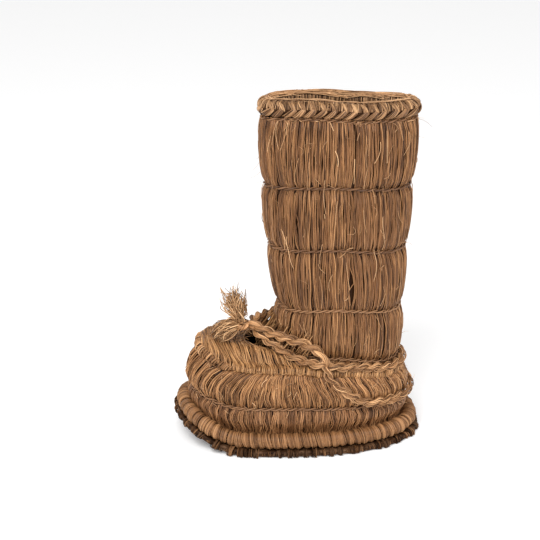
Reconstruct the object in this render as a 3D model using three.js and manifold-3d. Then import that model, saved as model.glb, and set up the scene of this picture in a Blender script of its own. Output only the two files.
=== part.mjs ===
// A straw boot: a plaited sole, a wrapped welt roll, a stitched foot, a flattened shaft and a rope tie.
// Millimetres. +X points to the toe, +Y to the boot's left and +Z up; the origin is on the floor.
import * as THREE from 'three';
import { mergeVertices } from 'three/addons/utils/BufferGeometryUtils.js';
import Module from 'manifold-3d';

// Sole
const soleLength = 266;
const soleWidth = 156;
const outsoleThickness = 6.5;
const outsoleBevel = 2.4;
const courseGroove = 1.1;
const toeSpring = 27;
const springStart = 66;
const springPower = 1.6;
const archRise = 1.5;
const archBack = -58;
const archFront = 12;
const insoleThickness = 5;
const insoleBevel = 1;
const soleToePower = 2.45;
const soleHeelPower = 2.3;

// Welt roll and collar roll
const weltDiameter = 18;
const weltWraps = 52;
const collarRollDiameter = 18;
const collarWraps = 34;
const wrapDepth = 0.9;
const rollSides = 7;

// Foot
const footWall = 6.5;
const toeHeight = 110.5;
const seamHeight = 90;
const seamDrop = 11;
const seamRise = 16.5;
const throatFront = 60;
const footSwell = 6;
const footBundles = 46;
const toeRiseStart = 40;
const toeRisePower = 3;

// Shaft
const shaftWall = 6;
const ankleFront = 20;
const ankleBack = -108;
const ankleWidth = 92;
const ankleMid = -35;
const collarFront = 38;
const collarBack = -122;
const collarWidth = 50;
const collarHeight = 372.5;
const collarSag = 4;
const collarSagReach = 60;
const rowDrop = 12;
const foldRadius = 12.5;
const shaftPower = 2.1;
const shaftSwell = 3.2;
const shaftBundles = 36;
const bundleDepth = 1.5;

// Ankle tie
const ropeDiameter = 10;
const ropeSides = 8;
const turnSteps = 44;
const endFullness = 0.9;
const endSteps = 6;
const knotSize = 17;
const knotFlatness = 0.92;
const knotPlace = [64, 10, 130.5];

// Clearances
const seatGap = 0.3;
const ledgeMargin = 1.2;

const colours = {
  strawLight: 0xb98a55,
  straw: 0xa67843,
  strawDark: 0x8f6538,
  plait: 0x5e4227,
  rope: 0xb3834e,
};

// Small helpers

function mix(from, to, share) {
  return from + (to - from) * share;
}

function smoothStep(value) {
  const held = Math.min(1, Math.max(0, value));
  return held * held * (3 - 2 * held);
}

// A plan outline of two half superellipses that meet at their widest place, as points that
// lie at even steps along it, anticlockwise from the toe. Its folds are no tighter than round.
function planRing({ front, back, mid, half, toePower, heelPower, round = 0 }, count) {
  const fineSteps = 720;
  const core = [];
  for (let i = 0; i <= fineSteps; i += 1) {
    const angle = (i / fineSteps) * 2 * Math.PI;
    const cos = Math.cos(angle);
    const sin = Math.sin(angle);
    const power = cos > 0 ? toePower : heelPower;
    const reach = (cos > 0 ? front - mid : mid - back) - round;
    const x = mid + reach * Math.sign(cos) * Math.abs(cos) ** (2 / power);
    const y = (half - round) * Math.sign(sin) * Math.abs(sin) ** (2 / power);
    core.push(new THREE.Vector2(x, y));
  }
  const fine = core.map((point, i) => {
    const after = core[Math.min(fineSteps - 1, i) + 1];
    const before = i === 0 ? core[fineSteps - 1] : core[i - 1];
    const along = (i === fineSteps ? core[1] : after).clone().sub(before).normalize();
    return new THREE.Vector2(point.x + round * along.y, point.y - round * along.x);
  });
  const lengths = [0];
  for (let i = 1; i <= fineSteps; i += 1) {
    lengths.push(lengths[i - 1] + fine[i].distanceTo(fine[i - 1]));
  }
  const ring = [];
  let at = 0;
  for (let k = 0; k < count; k += 1) {
    const target = (k / count) * lengths[fineSteps];
    while (lengths[at + 1] < target) {
      at += 1;
    }
    const share = (target - lengths[at]) / (lengths[at + 1] - lengths[at]);
    ring.push(fine[at].clone().lerp(fine[at + 1], share));
  }
  return ring;
}

function geometryOf(points, faces) {
  const numbers = points.flatMap((p) => p.toArray());
  const geometry = new THREE.BufferGeometry();
  geometry.setAttribute('position', new THREE.Float32BufferAttribute(numbers, 3));
  geometry.setIndex(faces);
  geometry.computeVertexNormals();
  return geometry;
}

// Joins each ring to the next, and where closed is true the last ring to the first.
function ringFaces(ringCount, count, closed) {
  const faces = [];
  const steps = closed ? ringCount : ringCount - 1;
  for (let r = 0; r < steps; r += 1) {
    const low = r * count;
    const high = ((r + 1) % ringCount) * count;
    for (let i = 0; i < count; i += 1) {
      const next = (i + 1) % count;
      faces.push(low + i, low + next, high + next);
      faces.push(low + i, high + next, high + i);
    }
  }
  return faces;
}

function closedShell(rings) {
  return geometryOf(rings.flat(), ringFaces(rings.length, rings[0].length, true));
}

function cappedLoft(sections) {
  const count = sections[0].length;
  const faces = ringFaces(sections.length, count, false);
  const last = (sections.length - 1) * count;
  for (let i = 1; i < count - 1; i += 1) {
    faces.push(0, i + 1, i);
    faces.push(last, last + i, last + i + 1);
  }
  return geometryOf(sections.flat(), faces);
}

// A roll or rope along a closed, level-running line, with its radius given for each station.
function closedRoll(line, radiusAt, sides) {
  const rings = line.map((centre, k) => {
    const after = line[(k + 1) % line.length];
    const before = line[(k - 1 + line.length) % line.length];
    const along = after.clone().sub(before).normalize();
    const out = new THREE.Vector3(along.y, -along.x, 0).normalize();
    const up = out.clone().cross(along);
    const ring = [];
    for (let j = 0; j < sides; j += 1) {
      const angle = (j / sides) * 2 * Math.PI;
      const radius = radiusAt(k);
      ring.push(centre.clone().addScaledVector(out, radius * Math.cos(angle))
        .addScaledVector(up, -radius * Math.sin(angle)));
    }
    return ring;
  });
  return closedShell(rings);
}

// Sole levels

const halfLength = soleLength / 2;
const halfWidth = soleWidth / 2;
const weltRadius = weltDiameter / 2;

function soleOutline(inset) {
  return {
    front: halfLength - inset,
    back: inset - halfLength,
    mid: 0,
    half: halfWidth - inset,
    toePower: soleToePower,
    heelPower: soleHeelPower,
  };
}

function springAt(x) {
  const share = Math.max(0, (x - springStart) / (halfLength - springStart));
  return toeSpring * share ** springPower;
}

// Places along the sole where its layers have a section, closer together near both ends.
const soleStations = 40;
const endAngle = 0.07;
const stationXs = [];
for (let i = 0; i < soleStations; i += 1) {
  const angle = mix(Math.PI - endAngle, endAngle, i / (soleStations - 1));
  stationXs.push(halfLength * Math.cos(angle));
}

// The spring as the straight steps between stations, so that what lies on the sole follows it.
function soleLift(x) {
  let i = 1;
  while (i < soleStations - 1 && stationXs[i] < x) {
    i += 1;
  }
  const share = (x - stationXs[i - 1]) / (stationXs[i] - stationXs[i - 1]);
  return mix(springAt(stationXs[i - 1]), springAt(stationXs[i]), share);
}

function soleTop(x) {
  return outsoleThickness + soleLift(x);
}

function halfWidthAt(x, outline) {
  const power = x > 0 ? outline.toePower : outline.heelPower;
  const reach = x > 0 ? outline.front : -outline.back;
  return outline.half * Math.max(0, 1 - (Math.abs(x) / reach) ** power) ** (1 / power);
}

// The outsole's side, from the floor up. inset: how far each edge lies inside the outline.
// height: its share of the outsole's thickness.
const soleSide = [
  { name: 'tread', inset: outsoleBevel, height: 0 },
  { name: 'lower course', inset: 0, height: 0.25 },
  { name: 'groove', inset: courseGroove, height: 0.5 },
  { name: 'upper course', inset: courseGroove / 3, height: 0.75 },
  { name: 'top', inset: outsoleBevel, height: 1 },
];

// Outsole: two courses of plait with a groove between them, on a hollow arch.
function outsoleGeometry() {
  const outline = soleOutline(0);
  const sections = stationXs.map((x) => {
    const half = halfWidthAt(x, outline);
    const low = springAt(x);
    const archShare = (x - archBack) / (archFront - archBack);
    const arch = archShare > 0 && archShare < 1 ? archRise * Math.sin(Math.PI * archShare) : 0;
    const left = soleSide.map(({ inset, height }) => {
      const hollow = height === 0 ? arch : 0;
      const y = half - Math.min(inset, half / 2);
      return new THREE.Vector3(x, y, low + hollow + outsoleThickness * height);
    });
    const right = left.map((p) => new THREE.Vector3(x, -p.y, p.z)).reverse();
    return [...left, ...right];
  });
  return cappedLoft(sections);
}

// Welt roll: a straw core wrapped all round, one swell for each wrap.
function weltLine(count) {
  return planRing(soleOutline(weltRadius), count).map((p) => {
    const slope = (springAt(p.x + 1) - springAt(p.x - 1)) / 2;
    const rest = (weltRadius + seatGap) * Math.hypot(1, slope);
    return new THREE.Vector3(p.x, p.y, soleTop(p.x) + rest);
  });
}

function weltGeometry() {
  const radiusAt = (k) => weltRadius - (k % 2) * wrapDepth;
  return closedRoll(weltLine(weltWraps * 2), radiusAt, rollSides);
}

// Foot

const footCount = footBundles * 2;
const footInset = weltDiameter + seatGap + bundleDepth / 2;
const baseOutline = soleOutline(footInset);

const ledgeOutline = {
  front: throatFront + shaftWall + ledgeMargin,
  back: ankleBack - ledgeMargin,
  mid: ankleMid,
  half: ankleWidth / 2 + ledgeMargin,
  toePower: shaftPower,
  heelPower: shaftPower,
};

// Height of the seam that the shaft stands on: lower at the heel, higher at the throat.
function seamLine(x) {
  const toThroat = smoothStep((x - ankleMid) / (throatFront - ankleMid));
  const toHeel = smoothStep((ankleMid - x) / (ankleMid - ankleBack));
  return seamHeight + seamRise * toThroat - seamDrop * toHeel;
}

// Levels of the foot above the welt. side and toe: height as a share of the way from the welt's
// top to the seam, or at the toe to the toe's height. close: share of the way from the sole's
// outline to the seam's. swell and rib: shares of the wall's swell and of a bundle's depth.
const footLevels = [
  { name: 'low belly', side: 0.17, toe: -0.07, close: 0, swell: 0.7, rib: 1 },
  { name: 'lower twine', side: 0.35, toe: 0.1, close: 0, swell: 0.25, rib: 0.4 },
  { name: 'belly', side: 0.64, toe: 0.32, close: 0, swell: 0.9, rib: 1 },
  { name: 'shoulder', side: 0.83, toe: 0.56, close: 0.03, swell: 0.5, rib: 1 },
  { name: 'upper twine', side: 0.925, toe: 0.79, close: 0.19, swell: 0, rib: 0.3 },
  { name: 'toe ridge', side: 0.955, toe: 1, close: 0.27, swell: 0.15, rib: 0.8 },
  { name: 'vamp', side: 0.98, toe: 0.99, close: 0.62, swell: 0, rib: 0.5 },
];

function blendOutline(from, to, share) {
  const blended = {};
  for (const key of Object.keys(from)) {
    blended[key] = mix(from[key], to[key], share);
  }
  return blended;
}

function grownOutline(outline, growth) {
  return {
    ...outline,
    front: outline.front + growth,
    back: outline.back - growth,
    half: outline.half + growth,
  };
}

// The foot's outer skin without its bundles: rings from the sole up to the throat's edge.
function footSkin() {
  const rings = [];
  for (const share of [0, 0.5, 1]) {
    const height = seatGap + share * (weltDiameter + 2 * seatGap);
    rings.push(planRing(baseOutline, footCount).map(
      (p) => new THREE.Vector3(p.x, p.y, soleTop(p.x) + height),
    ));
  }
  const weltTop = outsoleThickness + weltDiameter + 3 * seatGap;
  for (const level of footLevels) {
    const outline = grownOutline(
      blendOutline(baseOutline, ledgeOutline, level.close),
      footSwell * level.swell,
    );
    rings.push(planRing(outline, footCount).map((p) => {
      const forward = smoothStep((p.x - toeRiseStart) / (outline.front - toeRiseStart));
      const atToe = forward ** toeRisePower;
      const seamSide = seamLine(Math.min(p.x, 0));
      const side = mix(weltTop, seamSide, level.side);
      const toe = mix(weltTop + toeSpring, toeHeight, level.toe);
      return new THREE.Vector3(p.x, p.y, mix(side, toe, atToe));
    }));
  }
  for (const growth of [0, -shaftWall - 2 * ledgeMargin]) {
    rings.push(planRing(grownOutline(ledgeOutline, growth), footCount).map(
      (p) => new THREE.Vector3(p.x, p.y, seamLine(p.x)),
    ));
  }
  return rings;
}

// Outward directions of a skin of rings, from its neighbours along and up.
function skinNormals(rings) {
  return rings.map((ring, r) => ring.map((point, i) => {
    const count = ring.length;
    const along = ring[(i + 1) % count].clone().sub(ring[(i + count - 1) % count]);
    const below = rings[Math.max(0, r - 1)][i];
    const above = rings[Math.min(rings.length - 1, r + 1)][i];
    return along.cross(above.clone().sub(below)).normalize();
  }));
}

function footGeometry() {
  const skin = footSkin();
  const normals = skinNormals(skin);
  const ribs = [0, 0, 0, ...footLevels.map((level) => level.rib), 0, 0];
  const outer = skin.map((ring, r) => ring.map((point, i) => {
    const rib = (i % 2 === 0 ? 0.5 : -0.5) * bundleDepth * ribs[r];
    return point.clone().addScaledVector(normals[r][i], rib);
  }));
  const edge = skin.length - 1;
  const under = skin[edge].map((point) => point.clone().setZ(point.z - footWall));
  const inner = [9, 8, 5, 3].map((r) => skin[r].map(
    (point, i) => point.clone().addScaledVector(normals[r][i], -footWall),
  ));
  const foot = planRing(grownOutline(baseOutline, -footWall), footCount).map(
    (p) => new THREE.Vector3(p.x, p.y, soleTop(p.x) + seatGap),
  );
  return closedShell([...outer, under, ...inner, foot]);
}

// Insole: a flat plaited pad inside the foot's wall.
function insoleGeometry() {
  const outline = soleOutline(footInset + footWall + seatGap);
  const inside = stationXs.filter((x) => Math.abs(x) < outline.front - insoleBevel);
  const sections = inside.map((x) => {
    const half = halfWidthAt(x, outline);
    const low = soleTop(x) + seatGap;
    return [
      new THREE.Vector3(x, half, low),
      new THREE.Vector3(x, half - insoleBevel, low + insoleThickness),
      new THREE.Vector3(x, insoleBevel - half, low + insoleThickness),
      new THREE.Vector3(x, -half, low),
    ];
  });
  return cappedLoft(sections);
}

// Shaft

const shaftCount = shaftBundles * 2;

// Twine rows of the shaft. height: share of the way from the seam to the collar. front, back and
// width: shares of the way from the ankle's size to the collar's. drop: share of the row's drop
// towards the front fold.
const shaftRows = [
  { name: 'foot', height: 0, front: 0, back: 0, width: 0, drop: 0 },
  { name: 'fifth row', height: 0.04, front: 0, back: 0, width: 0, drop: 0 },
  { name: 'fourth row', height: 0.245, front: 0, back: 0.1, width: 0.08, drop: 1 },
  { name: 'third row', height: 0.487, front: 0.55, back: 0.35, width: 0.36, drop: 0.75 },
  { name: 'second row', height: 0.732, front: 0.8, back: 0.65, width: 0.72, drop: 0.5 },
  { name: 'first row', height: 0.986, front: 0.97, back: 0.97, width: 0.98, drop: 0 },
  { name: 'top', height: 1, front: 1, back: 1, width: 1, drop: 0 },
];

function collarLine(x) {
  return collarHeight - collarSag * Math.min(1, (x / collarSagReach) ** 2);
}

function shaftTop(x) {
  return collarLine(x) - collarRollDiameter / 2 - seatGap;
}

function shaftOutline(row, growth) {
  return {
    front: mix(ankleFront, collarFront, row.front) + growth,
    back: mix(ankleBack, collarBack, row.back) - growth,
    mid: ankleMid,
    half: mix(ankleWidth, collarWidth, row.width) / 2 + growth,
    toePower: shaftPower,
    heelPower: shaftPower,
    round: foldRadius + growth,
  };
}

function shaftRing(row, growth) {
  const outline = shaftOutline(row, growth);
  return planRing(outline, shaftCount).map((p) => {
    const toFront = smoothStep((p.x - ankleMid) / (outline.front - ankleMid));
    const low = seamLine(p.x) + seatGap;
    const z = mix(low, shaftTop(p.x), row.height) - rowDrop * row.drop * toFront;
    return new THREE.Vector3(p.x, p.y, z);
  });
}

function blendRow(low, high, share) {
  const blended = { ...low };
  for (const key of ['height', 'front', 'back', 'width', 'drop']) {
    blended[key] = mix(low[key], high[key], share);
  }
  return blended;
}

// The shaft's outer levels: each band swells between its two twine rows.
function shaftLevels() {
  const levels = [];
  shaftRows.forEach((row, r) => {
    const twine = r > 0 && r < shaftRows.length - 1;
    levels.push({ row, growth: 0, rib: twine ? 0.3 : 0 });
    if (r > 0 && r < shaftRows.length - 2) {
      for (const share of [0.3, 0.7]) {
        levels.push({ row: blendRow(row, shaftRows[r + 1], share), growth: shaftSwell, rib: 1 });
      }
    }
  });
  return levels;
}

function shaftGeometry() {
  const levels = shaftLevels();
  const skin = levels.map((level) => shaftRing(level.row, level.growth));
  const normals = skinNormals(skin);
  const outer = skin.map((ring, r) => ring.map((point, i) => {
    const rib = (i % 2 === 0 ? 0.5 : -0.5) * bundleDepth * levels[r].rib;
    return point.clone().addScaledVector(normals[r][i].clone().setZ(0).normalize(), rib);
  }));
  const inner = [6, 4, 3, 2, 0].map((r) => shaftRing(shaftRows[r], -shaftWall));
  return closedShell([...outer, ...inner]);
}

// Collar roll: a braided roll over the shaft's top edge.
function collarGeometry() {
  const outline = shaftOutline(shaftRows[shaftRows.length - 1], -shaftWall / 2);
  const line = planRing(outline, collarWraps * 2).map(
    (p) => new THREE.Vector3(p.x, p.y, collarLine(p.x)),
  );
  const radiusAt = (k) => collarRollDiameter / 2 - (k % 2) * wrapDepth;
  return closedRoll(line, radiusAt, rollSides);
}

// Ankle tie

const ropeRadius = ropeDiameter / 2;
const touching = ropeRadius + seatGap + bundleDepth / 2;

// The point on a skin at a share of the way round and a height, moved out by a distance.
function offSkin(skin, around, height, out) {
  const count = skin[0].length;
  const place = around * count;
  const i = Math.floor(place) % count;
  const share = place - Math.floor(place);
  const column = skin.map((ring) => ring[i].clone().lerp(ring[(i + 1) % count], share));
  let r = 1;
  while (r < column.length - 1 && column[r].z < height) {
    r += 1;
  }
  const rise = (height - column[r - 1].z) / (column[r].z - column[r - 1].z);
  const point = column[r - 1].clone().lerp(column[r], Math.min(1, Math.max(0, rise)));
  const after = skin[r][(i + 1) % count];
  const before = skin[r][i];
  const along = after.clone().sub(before);
  const outward = new THREE.Vector3(along.y, -along.x, 0).normalize();
  return point.addScaledVector(outward, out).setZ(height);
}

// Each turn's route down one side, from the knot to the heel. around: share of the way round the
// wall it lies on. above: height over the seam there. out: distance past touching the wall.
const upperTurn = [
  { wall: 'shaft', around: 0.06, above: 26, out: 8 },
  { wall: 'shaft', around: 0.11, above: 27, out: 2 },
  { wall: 'shaft', around: 0.155, above: 27, out: 1.2 },
  { wall: 'shaft', around: 0.195, above: 18, out: 0.8 },
  { wall: 'foot', around: 0.295, above: -3, out: 2 },
  { wall: 'foot', around: 0.325, above: -15, out: 1.6 },
  { wall: 'foot', around: 0.35, above: -25, out: 0.3 },
  { wall: 'foot', around: 0.375, above: -29, out: 0.3 },
  { wall: 'foot', around: 0.4, above: -29, out: 0.9 },
  { wall: 'foot', around: 0.45, above: -28, out: 0.9 },
];
const lowerTurn = [
  { wall: 'shaft', around: 0.075, above: 13, out: 9 },
  { wall: 'shaft', around: 0.12, above: 9, out: 7 },
  { wall: 'shaft', around: 0.16, above: 7.5, out: 5 },
  { wall: 'shaft', around: 0.2, above: 7.5, out: 5 },
  { wall: 'shaft', around: 0.235, above: 6.5, out: 5 },
  { wall: 'shaft', around: 0.28, above: 5.5, out: 2 },
  { wall: 'shaft', around: 0.34, above: 5.5, out: 1 },
  { wall: 'shaft', around: 0.4, above: 5.5, out: 1 },
  { wall: 'shaft', around: 0.45, above: 5.5, out: 1 },
];

function turnLine(route, apex) {
  const skins = {
    shaft: shaftLevels().map((level) => shaftRing(level.row, level.growth)),
    foot: footSkin().slice(0, 11),
  };
  const placed = (row, around) => {
    const flat = offSkin(skins[row.wall], around, seamHeight, 0);
    return offSkin(skins[row.wall], around, seamLine(flat.x) + row.above, touching + row.out);
  };
  const near = route.map((row) => placed(row, row.around));
  const heel = placed(route[route.length - 1], 0.5);
  const far = route.map((row) => placed(row, 1 - row.around)).reverse();
  const curve = new THREE.CatmullRomCurve3([apex, ...near, heel, ...far], true, 'centripetal');
  return curve.getSpacedPoints(turnSteps).slice(0, turnSteps);
}

const wasm = await Module();
wasm.setup();

function toSolid(geometry) {
  const plain = geometry.clone();
  plain.deleteAttribute('normal');
  plain.deleteAttribute('uv');
  const merged = mergeVertices(plain);
  return new wasm.Manifold(new wasm.Mesh({
    numProp: 3,
    vertProperties: new Float32Array(merged.attributes.position.array),
    triVerts: new Uint32Array(merged.index.array),
  }));
}

function toGeometry(solid) {
  const mesh = solid.getMesh();
  const geometry = new THREE.BufferGeometry();
  geometry.setAttribute('position', new THREE.BufferAttribute(mesh.vertProperties, 3));
  geometry.setIndex(new THREE.BufferAttribute(mesh.triVerts, 1));
  geometry.computeVertexNormals();
  return geometry;
}

function tieGeometry() {
  const [knotX, knotY, knotZ] = knotPlace;
  const apexX = knotX - knotSize / 2 - ropeRadius - seatGap;
  const upperApex = new THREE.Vector3(apexX, knotY, knotZ);
  const lowerApex = new THREE.Vector3(apexX - 1, knotY, knotZ - ropeRadius);
  const upperRope = toSolid(closedRoll(turnLine(upperTurn, upperApex), () => ropeRadius, ropeSides));
  const lowerRope = toSolid(closedRoll(turnLine(lowerTurn, lowerApex), () => ropeRadius, ropeSides));
  return toGeometry(upperRope.add(lowerRope));
}

function knotGeometry() {
  const [x, y, z] = knotPlace;
  const core = new THREE.SphereGeometry(knotSize / 2, 14, 10);
  core.scale(1, 1, knotFlatness);
  core.translate(x, y, z);
  return core;
}

// Frayed rope ends, each along its own few points.
const endRoutes = {
  tie_end_left: [
    [73, 11, 129.8], [80.5, 12.3, 130], [87, 14.5, 128], [92, 13.5, 122], [94, 8.8, 116.2],
  ],
  tie_end_up: [
    [65, 11, 138.7], [66, 12, 146], [68, 13, 153.5], [70, 13, 161], [70, 12, 168.5],
  ],
};

function endGeometry(points) {
  const path = new THREE.CatmullRomCurve3(points.map((p) => new THREE.Vector3(...p)));
  const section = new THREE.Shape();
  section.absarc(0, 0, ropeRadius * endFullness, 0, 2 * Math.PI);
  return new THREE.ExtrudeGeometry(section, {
    steps: endSteps,
    curveSegments: ropeSides,
    extrudePath: path,
  });
}

const boot = new THREE.Group();

function addPiece(name, geometry, color, roughness) {
  const material = new THREE.MeshStandardMaterial({ color, roughness, metalness: 0 });
  const mesh = new THREE.Mesh(geometry, material);
  mesh.name = name;
  boot.add(mesh);
}

addPiece('outsole', outsoleGeometry(), colours.plait, 1);
addPiece('insole', insoleGeometry(), colours.strawDark, 0.95);
addPiece('welt_roll', weltGeometry(), colours.strawLight, 0.85);
addPiece('foot_upper', footGeometry(), colours.straw, 0.9);
addPiece('shaft', shaftGeometry(), colours.straw, 0.9);
addPiece('collar_roll', collarGeometry(), colours.strawLight, 0.85);
addPiece('ankle_tie', tieGeometry(), colours.rope, 0.85);
addPiece('tie_knot', knotGeometry(), colours.rope, 0.85);
for (const [name, points] of Object.entries(endRoutes)) {
  addPiece(name, endGeometry(points), colours.rope, 0.85);
}

export default boot;
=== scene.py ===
import math

import bmesh
import bpy
import numpy as np
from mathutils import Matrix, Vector


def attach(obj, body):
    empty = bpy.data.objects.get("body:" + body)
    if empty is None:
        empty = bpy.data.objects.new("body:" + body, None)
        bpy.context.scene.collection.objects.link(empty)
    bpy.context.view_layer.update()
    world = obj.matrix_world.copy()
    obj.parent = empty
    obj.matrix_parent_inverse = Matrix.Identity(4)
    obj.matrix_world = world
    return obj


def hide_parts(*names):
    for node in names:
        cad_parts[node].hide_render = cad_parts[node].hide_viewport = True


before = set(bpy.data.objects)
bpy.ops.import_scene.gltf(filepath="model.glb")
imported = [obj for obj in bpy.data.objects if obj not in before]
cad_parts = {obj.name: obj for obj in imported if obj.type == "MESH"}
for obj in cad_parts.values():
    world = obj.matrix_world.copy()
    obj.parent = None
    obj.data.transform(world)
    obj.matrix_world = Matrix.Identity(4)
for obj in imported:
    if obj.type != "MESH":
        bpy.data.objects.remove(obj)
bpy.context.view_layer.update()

# Lengths in this script are millimetres; pieces are made in metres.
metre = 0.001
rng = np.random.default_rng(27)

# The boot's own sizes, as in the model that the straws are laid on
boot = {
    "soleLength": 266, "soleWidth": 156, "soleThick": 6.5, "toeSpring": 27, "springStart": 66,
    "springPower": 1.6, "toeRiseStart": 40, "toeRisePower": 3, "soleToePower": 2.45, "soleHeelPower": 2.3,
    "weltThick": 18, "seatGap": 0.3, "bundleDepth": 1.5, "toeHeight": 110.5, "seamHeight": 90,
    "seamDrop": 11, "seamRise": 16.5, "throatFront": 60, "footSwell": 6, "shaftWall": 6,
    "ledgeMargin": 1.2, "ankleFront": 20, "ankleBack": -108, "ankleMid": -35, "ankleWidth": 92,
    "collarFront": 38, "collarBack": -122, "collarWidth": 50, "collarHeight": 372.5, "collarSag": 4,
    "sagReach": 60, "rollThick": 18, "rowDrop": 12, "foldRadius": 12.5, "shaftPower": 2.1,
    "shaftSwell": 3.2, "ropeThick": 10, "knotPlace": (64, 10, 130.5), "knotSize": 17,
}

camera = {"yaw": 4, "elevation": 22, "distance": 1800, "target": (30, 0, 187), "lens": 111.6}


# Camera at the photograph's angle

def placeCamera():
    yaw, elevation = math.radians(camera["yaw"]), math.radians(camera["elevation"])
    flat = math.cos(elevation)
    back = Vector((flat * math.sin(yaw), flat * math.cos(yaw), math.sin(elevation)))
    data = bpy.data.cameras.new("photoCamera")
    data.lens = camera["lens"]
    data.sensor_width = 36
    data.clip_start, data.clip_end = 0.05, 20
    view = bpy.data.objects.new("photoCamera", data)
    view.location = (Vector(camera["target"]) + back * camera["distance"]) * metre
    view.rotation_mode = "QUATERNION"
    view.rotation_quaternion = (-back).to_track_quat("-Z", "Y")
    bpy.context.collection.objects.link(view)
    bpy.context.scene.camera = view


placeCamera()
print("camera placed")


# Shader groups and materials

def newGroup(name, inputs, outputs):
    tree = bpy.data.node_groups.new(name, "ShaderNodeTree")
    for label, kind, value in inputs:
        socket = tree.interface.new_socket(name=label, in_out="INPUT", socket_type=kind)
        if value is not None:
            socket.default_value = value
    for label, kind in outputs:
        tree.interface.new_socket(name=label, in_out="OUTPUT", socket_type=kind)
    return tree, tree.nodes.new("NodeGroupInput"), tree.nodes.new("NodeGroupOutput")


def mathNode(tree, operation, *values, kind="Math"):
    node = tree.nodes.new("ShaderNode" + kind)
    node.operation = operation
    for socket, value in zip(node.inputs, values):
        if isinstance(value, (int, float, tuple)):
            socket.default_value = value
        else:
            tree.links.new(value, socket)
    return node.outputs[0]


def vectorNode(tree, operation, *values):
    return mathNode(tree, operation, *values, kind="VectorMath")


def noiseNode(tree, vector, scale, detail, rough=0.5):
    node = tree.nodes.new("ShaderNodeTexNoise")
    node.inputs["Scale"].default_value = scale
    node.inputs["Detail"].default_value = detail
    node.inputs["Roughness"].default_value = rough
    tree.links.new(vector, node.inputs["Vector"])
    return node.outputs[0]


def mixColour(tree, factor, first, second):
    node = tree.nodes.new("ShaderNodeMix")
    node.data_type = "RGBA"
    for i, value in ((0, factor), (6, first), (7, second)):
        tree.links.new(value, node.inputs[i])
    return node.outputs[2]


def rangeNode(tree, value, low, high, toLow=0.0, toHigh=1.0):
    node = tree.nodes.new("ShaderNodeMapRange")
    node.inputs[1].default_value, node.inputs[2].default_value = low, high
    node.inputs[3].default_value, node.inputs[4].default_value = toLow, toHigh
    tree.links.new(value, node.inputs[0])
    return node.outputs[0]


# How far a straw's tone strays from the middle: by its own tint, along its run, and in patches
grainLook = {
    "tintShare": 0.46, "runShare": 0.85, "patchShare": 0.3, "brightFrom": 0.9, "brightShare": 0.24,
    "patchScale": 34, "runScale": 0.3, "dark": 0.18, "middle": 0.5, "light": 0.86,
    "rough": (0.55, 0.36), "alongScale": 55, "ringScale": 2.2, "tintShift": 71, "skinTintScale": 0.33,
    "bump": 0.6, "gloss": 0.4, "dullGloss": 0.08,
}


def makeStrawGrain():
    tree, given, made = newGroup("strawGrain", [
        ("Fibre", "NodeSocketVector", None), ("Place", "NodeSocketVector", None),
        ("Tint", "NodeSocketFloat", 0.5), ("Dark", "NodeSocketColor", (0.1, 0.05, 0.02, 1)),
        ("Mid", "NodeSocketColor", (0.4, 0.25, 0.13, 1)), ("Light", "NodeSocketColor", (0.7, 0.5, 0.3, 1)),
    ], [("Colour", "NodeSocketColor"), ("Roughness", "NodeSocketFloat"), ("Height", "NodeSocketFloat")])
    fibre, place, tint, dark, mid, light = given.outputs[:6]
    streak = noiseNode(tree, fibre, 1.0, 3, 0.6)
    patch = noiseNode(tree, place, grainLook["patchScale"], 3)
    run = noiseNode(tree, fibre, grainLook["runScale"], 1)
    tone = streak
    for value, share in ((tint, "tintShare"), (run, "runShare"), (patch, "patchShare")):
        part = mathNode(tree, "MULTIPLY", mathNode(tree, "SUBTRACT", value, 0.5), grainLook[share])
        tone = mathNode(tree, "ADD", tone, part)
    bright = rangeNode(tree, tint, grainLook["brightFrom"], 1.0, 0, grainLook["brightShare"])
    tone = mathNode(tree, "ADD", tone, bright)
    darker = mixColour(tree, rangeNode(tree, tone, grainLook["dark"], grainLook["middle"]), dark, mid)
    colour = mixColour(tree, rangeNode(tree, tone, grainLook["middle"], grainLook["light"]), darker, light)
    tree.links.new(colour, made.inputs["Colour"])
    tree.links.new(rangeNode(tree, streak, 0.3, 0.7, *grainLook["rough"]), made.inputs["Roughness"])
    tree.links.new(streak, made.inputs["Height"])
    return tree


strawGrain = makeStrawGrain()

# Middle tone of each finish, its bump in millimetres, and its contrast, which says how far the dark
# and light tones lie from the middle
finishes = {
    "shaftStraw": ((0.212, 0.089, 0.03), 0.25, 1), "footStraw": ((0.31, 0.138, 0.049), 0.25, 1),
    "padStraw": ((0.35, 0.165, 0.06), 0.25, 1), "lowStraw": ((0.245, 0.106, 0.039), 0.25, 0.9),
    "liningStraw": ((0.2, 0.092, 0.036), 0.25, 0.7), "weltStraw": ((0.3, 0.14, 0.054), 0.2, 0.65),
    "rimStraw": ((0.28, 0.138, 0.056), 0.2, 1), "plaitStraw": ((0.24, 0.112, 0.044), 0.2, 1.2),
    "ropeStraw": ((0.37, 0.177, 0.07), 0.2, 1.1), "tuftStraw": ((0.48, 0.265, 0.12), 0.2, 0.9),
    "hairStraw": ((0.5, 0.27, 0.125), 0.1, 0.7), "soleStraw": ((0.048, 0.02, 0.008), 0.3, 1.6),
    "soleLight": ((0.15, 0.066, 0.026), 0.3, 1), "twineStraw": ((0.16, 0.07, 0.027), 0.15, 0.8),
    # The next finish is near-black straw, painted shade for the gaps between straws and wraps. It is put on
    # the roll cores and on the model's wall skins.
    "paintedShadeStraw": ((0.024, 0.009, 0.003), 0.3, 0.8),
}
darkShare, lightShare = (0.22, 0.19, 0.16), (2.2, 2.6, 3.1)
dullFinishes = ("soleStraw", "soleLight", "paintedShadeStraw", "liningStraw")


def attribute(tree, name, output):
    node = tree.nodes.new("ShaderNodeAttribute")
    node.attribute_name = name
    return node.outputs[output]


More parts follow.
